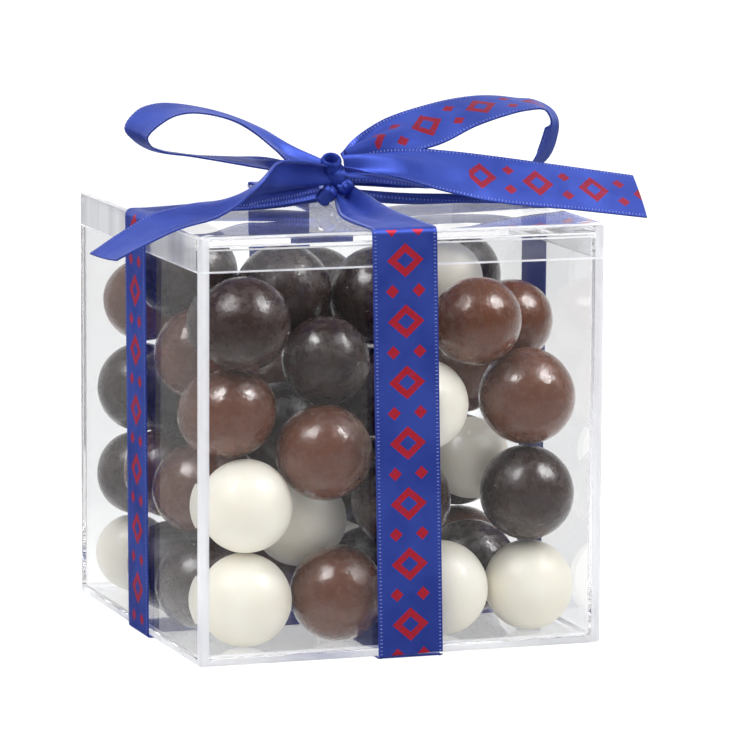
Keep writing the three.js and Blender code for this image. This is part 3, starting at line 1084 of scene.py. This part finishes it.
    def build(self, satin: dict[Weave, bpy.types.Material]) -> bpy.types.Object:
        """Args:
            satin: The ribbon's materials.

        Returns:
            The piece.
        """
        mesh = self.mesh()
        piece = new_piece(self.name, mesh, [satin[Weave.PLAIN], satin[self.ink]])
        shade_by_angle(mesh, self.sharp)
        settle_piece(piece, self.body, "ribbon_satin", self.node)
        length = float(distance_along(self.rings()[0])[-1]) * MM
        return piece


@dataclass(frozen=True)
class KnotWrap:
    """One gathered turn of ribbon in the knot, in millimetres from the middle of the lid's top."""

    at: Point
    axis: Point
    ring: float
    reach: float
    depth: float


@dataclass
class RibbonKnot:
    """The knot: gathered turns of ribbon round a tight heart."""

    wraps: tuple[KnotWrap, ...] = (
        KnotWrap((-1.8, -2.0, 8.4), (-0.1, -0.5, 0.86), 1.7, 1.6, 0.45),
        KnotWrap((-0.5, -1.2, 5.9), (0.9, -0.35, -0.2), 1.9, 1.9, 0.6),
        KnotWrap((1.0, -2.6, 4.2), (0.8, -0.3, 0.5), 1.15, 1.5, 0.6),
        KnotWrap((-2.9, -2.8, 2.6), (0.55, -0.35, 0.75), 1.15, 1.9, 0.6),
    )
    heart_at: Point = (-0.3, -0.5, 5.2)
    heart: Point = (2.1, 2.0, 3.6)
    around: int = 48
    section: int = 24
    creases: int = 3
    crease_depth: float = 0.16
    width: float = RIBBON_WIDTH
    turn_length: float = 11.0
    flat_length: float = 12.0
    sharp: float = math.radians(60)
    lid_top: float = LID_TOP

    def wrap_points(self, wrap: KnotWrap) -> np.ndarray:
        """Surface of one turn.

        Args:
            wrap: The turn.

        Returns:
            Points as place along the turn by place round its section.
        """
        axis = np.array(wrap.axis) / np.linalg.norm(wrap.axis)
        up = np.array((0.0, 0.0, 1.0)) - axis * axis[2]
        up /= np.linalg.norm(up)
        front = np.cross(axis, up)
        turn = np.linspace(0, 2 * math.pi, self.around, endpoint=False)[:, None]
        round_it = np.linspace(0, 2 * math.pi, self.section, endpoint=False)[None, :]
        side = np.sign(np.cos(round_it)) * np.abs(np.cos(round_it)) ** 0.8 * wrap.reach
        off = np.sin(round_it) * wrap.depth
        groove = np.cos(side / wrap.reach * math.pi * self.creases + 0.7 * np.sin(turn * 2))
        off = off - self.crease_depth * (1 - groove) * np.clip(np.sin(round_it), 0, 1)
        radius = wrap.ring + off
        rise, advance = radius * np.cos(turn), radius * np.sin(turn)
        centre = np.array(wrap.at) + (0, 0, self.lid_top)
        return centre + side[:, :, None] * axis + rise[:, :, None] * up + advance[:, :, None] * front

    def heart_points(self) -> np.ndarray:
        """Surface of the tight middle, with grooves where the ribbon is drawn in."""
        turn = np.linspace(0, 2 * math.pi, self.around, endpoint=False)[:, None]
        tilt = np.linspace(0.02, math.pi - 0.02, self.section)[None, :]
        swell = 1 + 0.06 * np.cos(7 * turn + 2 * np.cos(tilt))
        girth = swell * np.sin(tilt)
        height = np.cos(tilt) + 0 * turn
        shape = np.stack([girth * np.cos(turn), girth * np.sin(turn), height], 2) * self.heart
        return shape + np.array(self.heart_at) + (0, 0, self.lid_top)

    def build(self, satin: bpy.types.Material) -> bpy.types.Object:
        """Args:
            satin: The ribbon's plain material.

        Returns:
            The piece.
        """
        vertices, faces, chart = [], [], []
        grids = [(self.wrap_points(wrap), True) for wrap in self.wraps]
        grids.append((self.heart_points(), False))
        for grid, closed in grids:
            start, (rows, columns) = len(vertices), grid.shape[:2]
            vertices += (grid.reshape(-1, 3) * MM).tolist()
            for r in range(rows):
                this_row, next_row = start + r * columns, start + (r + 1) % rows * columns
                along = r / rows * self.turn_length
                chart += [(c / columns * self.width - self.width / 2, along) for c in range(columns)]
                for c in range(columns if closed else columns - 1):
                    nxt = (c + 1) % columns
                    faces.append([this_row + c, this_row + nxt, next_row + nxt, next_row + c])
            if not closed:
                faces.append([start + r * columns for r in range(rows)])
                faces.append([start + r * columns + columns - 1 for r in range(rows)][::-1])
        mesh = bpy.data.meshes.new("ribbon_knot_satin")
        mesh.from_pydata(vertices, [], faces)
        layer = mesh.uv_layers.new(name=RIBBON_UV)
        for loop in mesh.loops:
            layer.data[loop.index].uv = chart[loop.vertex_index]
        piece = new_piece("ribbon_knot_satin", mesh, [satin])
        shade_by_angle(mesh, self.sharp)
        settle_piece(piece, Body.RIBBON, "ribbon_satin", "ribbon_knot")
        return piece


@dataclass
class Stitching:
    """Rows of small thread stitches across the ribbon's edges."""

    pitch: float = 0.7
    inset: float = 0.5
    length: float = 0.27
    thick: float = 0.09
    finish: ThreadFinish = ThreadFinish()

    def tree(self, thread: bpy.types.Material) -> bpy.types.NodeTree:
        """Node tree that sets one stitch at the start of each line.

        Args:
            thread: The thread's material.

        Returns:
            The tree, with its sizes as inputs.
        """
        tree = bpy.data.node_groups.new("stitch_row", "GeometryNodeTree")
        face = tree.interface
        face.new_socket("Geometry", in_out="INPUT", socket_type="NodeSocketGeometry")
        for name in ("Length", "Thickness"):
            face.new_socket(name, in_out="INPUT", socket_type="NodeSocketFloat")
        face.new_socket("Geometry", in_out="OUTPUT", socket_type="NodeSocketGeometry")
        nodes, links = tree.nodes, tree.links
        given, result = nodes.new("NodeGroupInput"), nodes.new("NodeGroupOutput")
        curve = nodes.new("GeometryNodeMeshToCurve")
        spaced = nodes.new("GeometryNodeCurveToPoints")
        spaced.mode = "COUNT"
        spaced.inputs["Count"].default_value = 1
        stitch = nodes.new("GeometryNodeMeshUVSphere")
        stitch.inputs["Segments"].default_value = 6
        stitch.inputs["Rings"].default_value = 4
        stitch.inputs["Radius"].default_value = 1.0
        size = nodes.new("ShaderNodeCombineXYZ")
        shaped = nodes.new("GeometryNodeTransform")
        placed = nodes.new("GeometryNodeInstanceOnPoints")
        real = nodes.new("GeometryNodeRealizeInstances")
        dressed = nodes.new("GeometryNodeSetMaterial")
        dressed.inputs["Material"].default_value = thread
        links.new(given.outputs["Geometry"], curve.inputs[0])
        links.new(curve.outputs[0], spaced.inputs["Curve"])
        links.new(given.outputs["Thickness"], size.inputs[0])
        links.new(given.outputs["Thickness"], size.inputs[1])
        links.new(given.outputs["Length"], size.inputs[2])
        links.new(stitch.outputs["Mesh"], shaped.inputs["Geometry"])
        links.new(size.outputs[0], shaped.inputs["Scale"])
        links.new(spaced.outputs["Points"], placed.inputs["Points"])
        links.new(spaced.outputs["Rotation"], placed.inputs["Rotation"])
        links.new(shaped.outputs[0], placed.inputs["Instance"])
        links.new(placed.outputs[0], real.inputs[0])
        links.new(real.outputs[0], dressed.inputs["Geometry"])
        links.new(dressed.outputs[0], result.inputs[0])
        return tree

    def build(self, name: str, lines: Sequence[np.ndarray], body: Body) -> bpy.types.Object:
        """Makes the stitches of one body.

        Args:
            name: Name of the piece.
            lines: The lines to follow, in metres.
            body: The body that carries the ribbon.

        Returns:
            The piece.
        """
        thread = self.finish.material()
        vertices, edges = [], []
        for line in lines:
            start = len(vertices)
            vertices += line.tolist()
            edges += [(start + k, start + k + 1) for k in range(len(line) - 1)]
        route = bpy.data.meshes.new(f"{name}_route")
        route.from_pydata(vertices, edges, [])
        carrier = bpy.data.objects.new(f"{name}_route", route)
        bpy.context.scene.collection.objects.link(carrier)
        tree = self.tree(thread)
        modifier = carrier.modifiers.new("stitches", "NODES")
        modifier.node_group = tree
        keys = {item.name: item.identifier for item in tree.interface.items_tree if item.in_out == "INPUT"}
        for key, value in (("Length", self.length), ("Thickness", self.thick)):
            modifier[keys[key]] = value * MM
        graph = bpy.context.evaluated_depsgraph_get()
        mesh = bpy.data.meshes.new_from_object(carrier.evaluated_get(graph))
        mesh.name = name
        bpy.data.objects.remove(carrier)
        piece = new_piece(name, mesh, ())
        return settle_piece(piece, body, "ribbon_satin")


@dataclass
class RibbonTie:
    """The ribbon round the box: four straps, the crossing under the box, the bow's loops and its tails."""

    half: float = BOX_SIDE / 2
    drop: float = BOX_HEIGHT
    standoff: float = 0.9
    gap: float = 0.3
    solid: float = 0.4
    fold: float = 1.2
    width: float = RIBBON_WIDTH
    lengthwise_shift: float = 1.5
    crosswise_shift: float = -2.5
    wall_heights: tuple[float, ...] = (-60, -40, -20, -6, -3)
    fold_steps: int = 6
    finishes: tuple[SatinFinish, ...] = (
        SatinFinish("satin_plain", Weave.PLAIN),
        SatinFinish("satin_printed", Weave.PRINTED),
        # painted shade: the bow's print is the same red ink, painted darker so that it does not brighten
        # with the bow's stronger light
        SatinFinish("satin_printed_bow_shaded", Weave.SHADED_BOW_PRINT, print_colour=(0.235, 0.013, 0.024)),
    )

    def strap(self, low: float, high: float, top_run: Sequence[Station]) -> list[Station]:
        """Route of a strap up the front wall, over the lid's edge and in to the knot.

        Args:
            low: How far it lies to one side at its foot.
            high: The same at the lid's edge.
            top_run: Its stations on the lid, from the edge inwards.

        Returns:
            All its stations.
        """
        foot = self.half + self.gap + self.solid / 2
        out = self.half + self.standoff + self.solid / 2
        top = self.gap + self.solid / 2
        lowest, highest = -self.drop + 0.25, top - self.fold
        flat = (1.0, 0.0, 0.0)
        route = []
        for height in (lowest, -self.drop + 2, *self.wall_heights, highest):
            share = (height - lowest) / (highest - lowest)
            at = (low + (high - low) * share, -(foot + (out - foot) * share), height)
            route.append(Station(at, flat))
        for step in range(1, self.fold_steps + 1):
            turn = step / self.fold_steps * math.pi / 2
            at = (high, -out + self.fold * (1 - math.cos(turn)), top - self.fold * (1 - math.sin(turn)))
            route.append(Station(at, flat))
        route.append(Station((high, -self.half + 1.4, top), flat))
        route.append(Station((high, -self.half + 2.0, top), flat))
        return [*route, *top_run]

    @staticmethod
    def turned(stations: Sequence[Station], angle: float) -> list[Station]:
        """Turns stations about the upright axis.

        Args:
            stations: The stations.
            angle: Turn in radians.

        Returns:
            The turned stations.
        """
        cos, sin = math.cos(angle), math.sin(angle)

        def spin(p: Point) -> Point:
            """Turns one point."""
            return (cos * p[0] - sin * p[1], sin * p[0] + cos * p[1], p[2])

        return [Station(spin(s.at), spin(s.across), s.width) for s in stations]

    def straps(self) -> list[RibbonStretch]:
        """The four straps."""
        w = self.width
        front = [
            Station((-0.5, -30, 0.6), (1, 0, 0.02)),
            Station((-0.2, -18, 0.9), (0.98, 0, 0.1), w * 0.8),
            Station((1.0, -7, 1.8), (0.96, 0, 0.26), w * 0.52),
            Station((0.8, -1.5, 3.0), (0.85, 0, 0.5), w * 0.33),
        ]
        shifts = {
            "right": self.crosswise_shift, "back": -self.lengthwise_shift, "left": -self.crosswise_shift,
        }
        made = []
        for quarter, side in enumerate(("front", "right", "back", "left")):
            name = f"ribbon_strap_{side}"
            if side == "front":
                route = self.strap(self.lengthwise_shift, -0.4, front)
            else:
                shift = shifts[side]
                route = self.strap(shift, shift, [
                    Station((shift * 0.65, -26, 0.8), (1, 0, 0), w * 0.9),
                    Station((shift * 0.35, -14, 1.2), (1, 0, 0), w * 0.62),
                    Station((0, -2.2, 2.4), (1, 0, 0), w * 0.26),
                ])
            made.append(RibbonStretch(
                f"{name}_satin", self.turned(route, quarter * math.pi / 2), name, Body.RIBBON,
                printed_face=0, printed_span=(0.0, self.drop), print_shift=3.0 * quarter,
                cup=0.0, gather=0.35,
            ))
        return made

    def crossing(self) -> list[RibbonStretch]:
        """The two runs under the box, one over the other, with their ends turned up to the straps."""
        made = []
        out = self.half + self.gap + self.solid / 2
        runs = (
            ("ribbon_under_lengthwise", 0.0, self.lengthwise_shift, 0.1),
            ("ribbon_under_crosswise", math.pi / 2, self.crosswise_shift, 0.3),
        )
        for name, turn, side, height in runs:
            level = -self.drop - self.solid + height
            ends = [
                (out, 0.25), (out - 0.06, 0.12), (out - 0.22, 0.03), (out - 0.6, 0.0), (out - 2, 0.0),
                (self.half / 2, 0.0),
            ]
            row = [(side, -x, level + up) for x, up in ends] + [(side, 0, level)]
            row += [(side, x, level + up) for x, up in ends[::-1]]
            route = self.turned([Station(at, (1, 0, 0)) for at in row], turn)
            made.append(RibbonStretch(
                name, route, "ribbon_cross_under", Body.BOX,
                cup=0.0, thickness=0.18, rests_on=("box_base",),
            ))
        return made

    def bow(self) -> list[RibbonStretch]:
        """The two loops and the two tails."""
        w, half = self.width, self.half
        left_loop = [
            Station((-2.4, 0.5, 7.4), (0.0, 0.96, 0.25), w * 0.35),
            Station((-9.9, 0, 10.6), (0.2, 0.95, 0.24), w * 0.85),
            Station((-13.4, 0, 13.1), (0.15, 0.97, 0.2)),
            Station((-21.5, 0, 17.6), (0.03, 1, 0.06)),
            Station((-30.1, 0, 19.6), (0, 1, 0.04)),
            Station((-34.5, 0, 19.4), (0, 1, 0.09)),
            Station((-37.7, 0, 18.0), (-0.03, 1, 0.14)),
            Station((-39.9, 0, 15.4), (-0.06, 1, 0.06)),
            Station((-38.7, 0, 13.4), (0, 1, 0.02)),
            Station((-35.6, 0, 11.9), (0, 1, -0.04)),
            Station((-31.6, 0, 11.1), (0, 1, -0.07)),
            Station((-19.3, 0, 9.4), (0.01, 1, 0.04)),
            Station((-14.3, 0.3, 8.7), (0.05, 1, 0.1)),
            Station((-8.9, 0.8, 7.4), (0.08, 0.97, 0.22), w * 0.65),
            Station((-2.8, 0.8, 6.0), (0, 0.96, 0.26), w * 0.33),
        ]
        right_loop = [
            Station((2.6, 1.2, 9.2), (-0.1, 0.96, 0.25), w * 0.3),
            Station((6.7, 1.8, 11.1), (-0.1, 0.93, 0.36), w * 0.7),
            Station((12.5, 1.5, 13.2), (-0.12, 0.89, 0.44), w * 0.95),
            Station((19.1, 0.8, 15.1), (-0.1, 0.88, 0.46)),
            Station((25.7, 0.5, 17.4), (-0.06, 0.94, 0.33)),
            Station((32.2, 0.5, 18.7), (0.02, 0.97, 0.22)),
            Station((37.3, 0.5, 19.0), (0.12, 0.98, 0.1)),
            Station((41.8, 0.5, 18.4), (0.28, 0.95, 0.0)),
            Station((44.6, 0.5, 15.4), (0.5, 0.86, -0.08)),
            Station((44.2, 0.5, 11.9), (0.54, 0.83, -0.12)),
            Station((42.4, 0.8, 8.0), (0.5, 0.85, -0.16)),
            Station((37, 1.5, 4.8), (0.25, 0.96, -0.08)),
            Station((28, 2, 3.4), (0.05, 1, 0)),
            Station((17, 1.8, 3.6), (0, 1, 0.02)),
            Station((8, 1.2, 5.0), (0, 0.97, 0.1), w * 0.6),
            Station((1, 0.4, 5.8), (0, 0.9, 0.3), w * 0.3),
        ]
        left_tail = [
            Station((-2.6, -1.5, 5.6), (0.1, 0.56, -0.83), w * 0.42),
            Station((-10.3, -6.0, 5.9), (0.2, 0.68, -0.71), w * 0.74),
            Station((-16.6, -10.0, 6.2), (0.2, 0.75, -0.63), w * 0.9),
            Station((-21.3, -13.5, 5.6), (0.1, 0.9, -0.43)),
            Station((-25.1, -16.0, 4.8), (0, 0.98, -0.2)),
            Station((-29.6, -18.4, 3.5), (-0.1, 0.99, 0)),
            Station((-34.4, -21.0, 2.3), (-0.15, 0.98, 0.08)),
            Station((-half - 2.3, -25.0, 0.9), (-0.14, 0.98, 0.09)),
            Station((-half - 9.0, -26.5, -1.9), (-0.1, 0.99, 0.05)),
            Station((-half - 14.5, -27.2, -4.7), (-0.08, 1, 0)),
        ]
        right_tail = [
            Station((1.3, -1.5, 8.4), (0.3, 0.92, 0.21), w * 0.3),
            Station((5.3, -4.5, 9.1), (0.34, 0.84, 0.41), w * 0.6),
            Station((11.5, -8.0, 8.8), (0.33, 0.83, 0.43), w * 0.9),
            Station((18.5, -10.5, 7.5), (0.3, 0.8, 0.52)),
            Station((28.0, -12.0, 5.8), (0.25, 0.76, 0.6)),
            Station((half + 2.7, -13.0, 3.8), (0.1, 0.81, 0.58)),
            Station((half + 17.7, -13.2, 1.6), (-0.05, 0.82, 0.56)),
        ]
        return [
            RibbonStretch("bow_loop_left_satin", left_loop, "bow_loop_left", Body.RIBBON, held="folded"),
            RibbonStretch(
                "bow_loop_right_satin", right_loop, "bow_loop_right", Body.RIBBON, held="folded",
                ink=Weave.SHADED_BOW_PRINT, printed_span=(6.0, 42.0),
            ),
            RibbonStretch("bow_tail_left_satin", left_tail, "bow_tail_left", Body.RIBBON, held="folded"),
            RibbonStretch(
                "bow_tail_right_satin", right_tail, "bow_tail_right", Body.RIBBON, held="folded",
                ink=Weave.SHADED_BOW_PRINT, printed_span=(24.0, 58.0), print_shift=2.0,
            ),
        ]

    def build(self) -> list[bpy.types.Object]:
        """Makes the whole ribbon apart from its knot.

        Returns:
            The pieces.
        """
        satin = {finish.weave: finish.material() for finish in self.finishes}
        stretches = [*self.straps(), *self.crossing(), *self.bow()]
        pieces = [stretch.build(satin) for stretch in stretches]
        pieces.append(RibbonKnot().build(satin[Weave.PLAIN]))
        stitching = Stitching()
        for body in (Body.BOX, Body.RIBBON):
            lines = []
            for stretch in stretches:
                if stretch.body is body:
                    lines += stretch.selvedges(stitching.pitch, stitching.inset, stretch.thickness / 2)
            pieces.append(stitching.build(f"selvedge_stitches_{body.value}", lines, body))
        return pieces


@dataclass(frozen=True)
class Softbox:
    """A square soft light that looks at the box. A shine hangs nearer than a fill, so nothing hides it."""

    name: str
    way: Point
    size: float
    power: float
    kind: Lamp
    target: Point = (0.0, 0.0, 0.05)
    fill_distance: float = 1.0
    shine_distance: float = 0.9

    def build(self) -> None:
        """Hangs the light."""
        shines = self.kind is Lamp.SHINE
        distance = self.shine_distance if shines else self.fill_distance
        way = Vector(self.way)
        lamp = bpy.data.lights.new(self.name, "AREA")
        lamp.shape = "SQUARE"
        lamp.size = self.size
        lamp.energy = self.power
        lamp.use_shadow = not shines
        holder = bpy.data.objects.new(self.name, lamp)
        bpy.context.scene.collection.objects.link(holder)
        holder.location = Vector(self.target) + way.normalized() * distance
        holder.rotation_euler = (-way).to_track_quat("-Z", "Y").to_euler()
        holder.visible_diffuse = not shines
        holder.visible_glossy = shines
        holder.visible_transmission = shines


@dataclass(frozen=True)
class Surround:
    """White walls: a bright backdrop behind the box, and a dim room above and on the camera's side."""

    backdrop_glow: float = 0.93
    mirror_glow: float = 1.7
    room_glow: float = 0.12
    fill_glow: float = 0.7
    sky_glow: float = 0.2
    high_glow: float = 1.3
    to_backdrop: tuple[float, float] = (-0.2, 0.3)
    to_sky: tuple[float, float] = (0.25, 0.5)
    to_high_mirror: tuple[float, float] = (0.17, 0.35)

    def build(self, scene: bpy.types.Scene) -> None:
        """Lights the scene from all sides, apart for what is seen, mirrored, seen through and lit.

        Args:
            scene: The scene to light.
        """
        world = bpy.data.worlds.new("studio")
        scene.world = world
        world.use_nodes = True
        tree = world.node_tree
        tree.nodes.clear()

        def sweep(source: bpy.types.NodeSocket, *limits: float) -> bpy.types.NodeSocket:
            """Maps a range of values onto another: from low, from high, to low, to high."""
            made = tree.nodes.new("ShaderNodeMapRange")
            for key, value in zip(("From Min", "From Max", "To Min", "To Max"), limits):
                made.inputs[key].default_value = value
            tree.links.new(source, made.inputs["Value"])
            return made.outputs["Result"]

        def blend(factor: bpy.types.NodeSocket, *values: object) -> bpy.types.NodeSocket:
            """Mixes two strengths."""
            made = tree.nodes.new("ShaderNodeMix")
            tree.links.new(factor, made.inputs["Factor"])
            for key, value in zip(("A", "B"), values):
                if isinstance(value, bpy.types.NodeSocket):
                    tree.links.new(value, made.inputs[key])
                else:
                    made.inputs[key].default_value = value
            return made.outputs["Result"]

        path = tree.nodes.new("ShaderNodeLightPath")
        way = tree.nodes.new("ShaderNodeTexCoord")
        split = tree.nodes.new("ShaderNodeSeparateXYZ")
        back = tree.nodes.new("ShaderNodeBackground")
        out = tree.nodes.new("ShaderNodeOutputWorld")
        tree.links.new(way.outputs["Generated"], split.inputs[0])
        depth, height = split.outputs["Y"], split.outputs["Z"]
        back_glow = sweep(depth, *self.to_backdrop, self.room_glow, self.backdrop_glow)
        through = blend(sweep(height, *self.to_sky, 0.0, 1.0), back_glow, self.sky_glow)
        low_mirror = sweep(depth, *self.to_backdrop, self.room_glow, self.mirror_glow)
        high_mirror = sweep(depth, *self.to_backdrop, self.sky_glow, self.high_glow)
        mirrored = blend(sweep(height, *self.to_high_mirror, 0.0, 1.0), low_mirror, high_mirror)
        soft = sweep(depth, *self.to_backdrop, self.fill_glow, self.backdrop_glow)
        direct = blend(path.outputs["Is Diffuse Ray"], mirrored, soft)
        around = blend(path.outputs["Is Transmission Ray"], direct, through)
        tree.links.new(blend(path.outputs["Is Camera Ray"], around, 1.0), back.inputs["Strength"])
        tree.links.new(back.outputs[0], out.inputs["Surface"])


@dataclass(frozen=True)
class Studio:
    """Plain pale floor, soft light and a camera at the photograph's angle."""

    floor_size: float = 12.0
    floor_drop: float = 0.0001
    lens: float = 257.3
    sensor_width: float = 36.0
    far_end: float = 50.0
    eye_at: Point = (-0.3277, -0.9729, 0.2005)
    eye_turn: Point = (81.55, -0.28, -19.0)
    bounces: int = 64
    glossy_bounces: int = 56
    clear_bounces: int = 32
    left: Point = (-0.57, -0.25, 0.79)
    right: Point = (0.55, -0.42, 0.72)
    above: Point = (0.0, 0.1, 1.0)

    def softboxes(self) -> list[Softbox]:
        """The lights: three fill the shadows, and two only shine on what is glossy."""
        return [
            Softbox("softbox_left", self.left, 0.5, 3.0, Lamp.FILL),
            Softbox("softbox_right", self.right, 0.5, 3.0, Lamp.FILL),
            Softbox("softbox_top", self.above, 0.8, 5.0, Lamp.FILL),
            Softbox("shine_left", self.left, 0.4, 12.0, Lamp.SHINE),
            Softbox("shine_right", self.right, 0.4, 12.0, Lamp.SHINE),
        ]

    def add_floor(self) -> None:
        """Lays the floor just under the box."""
        bpy.ops.mesh.primitive_plane_add(size=self.floor_size, location=(0, 0, -self.floor_drop))
        floor = bpy.context.object
        floor.name = "studio_floor"
        floor.data.materials.append(FloorFinish().material())

    def add_camera(self, scene: bpy.types.Scene) -> None:
        """Sets up the camera.

        Args:
            scene: The scene that it looks at.
        """
        camera = bpy.data.cameras.new("view")
        camera.lens = self.lens
        camera.sensor_width = self.sensor_width
        camera.sensor_fit = "HORIZONTAL"
        camera.clip_end = self.far_end
        eye = bpy.data.objects.new("view", camera)
        scene.collection.objects.link(eye)
        eye.location = self.eye_at
        eye.rotation_euler = tuple(math.radians(angle) for angle in self.eye_turn)
        scene.camera = eye

    def build(self) -> None:
        """Makes the floor, the lights and the camera."""
        scene = bpy.context.scene
        self.add_floor()
        scene.view_settings.view_transform = "Standard"
        scene.cycles.max_bounces = self.bounces
        scene.cycles.glossy_bounces = self.glossy_bounces
        scene.cycles.transmission_bounces = self.clear_bounces
        scene.cycles.transparent_max_bounces = self.clear_bounces
        Surround().build(scene)
        for softbox in self.softboxes():
            softbox.build()
        self.add_camera(scene)


def main() -> None:
    """Builds the box, its chocolates, the ribbon and the studio."""
    logging.basicConfig(level=logging.INFO, format="%(message)s")
    Studio().build()
    MouldedBox().build()
    Chocolates().build()
    RibbonTie().build()


if __name__ == "__main__":
    main()
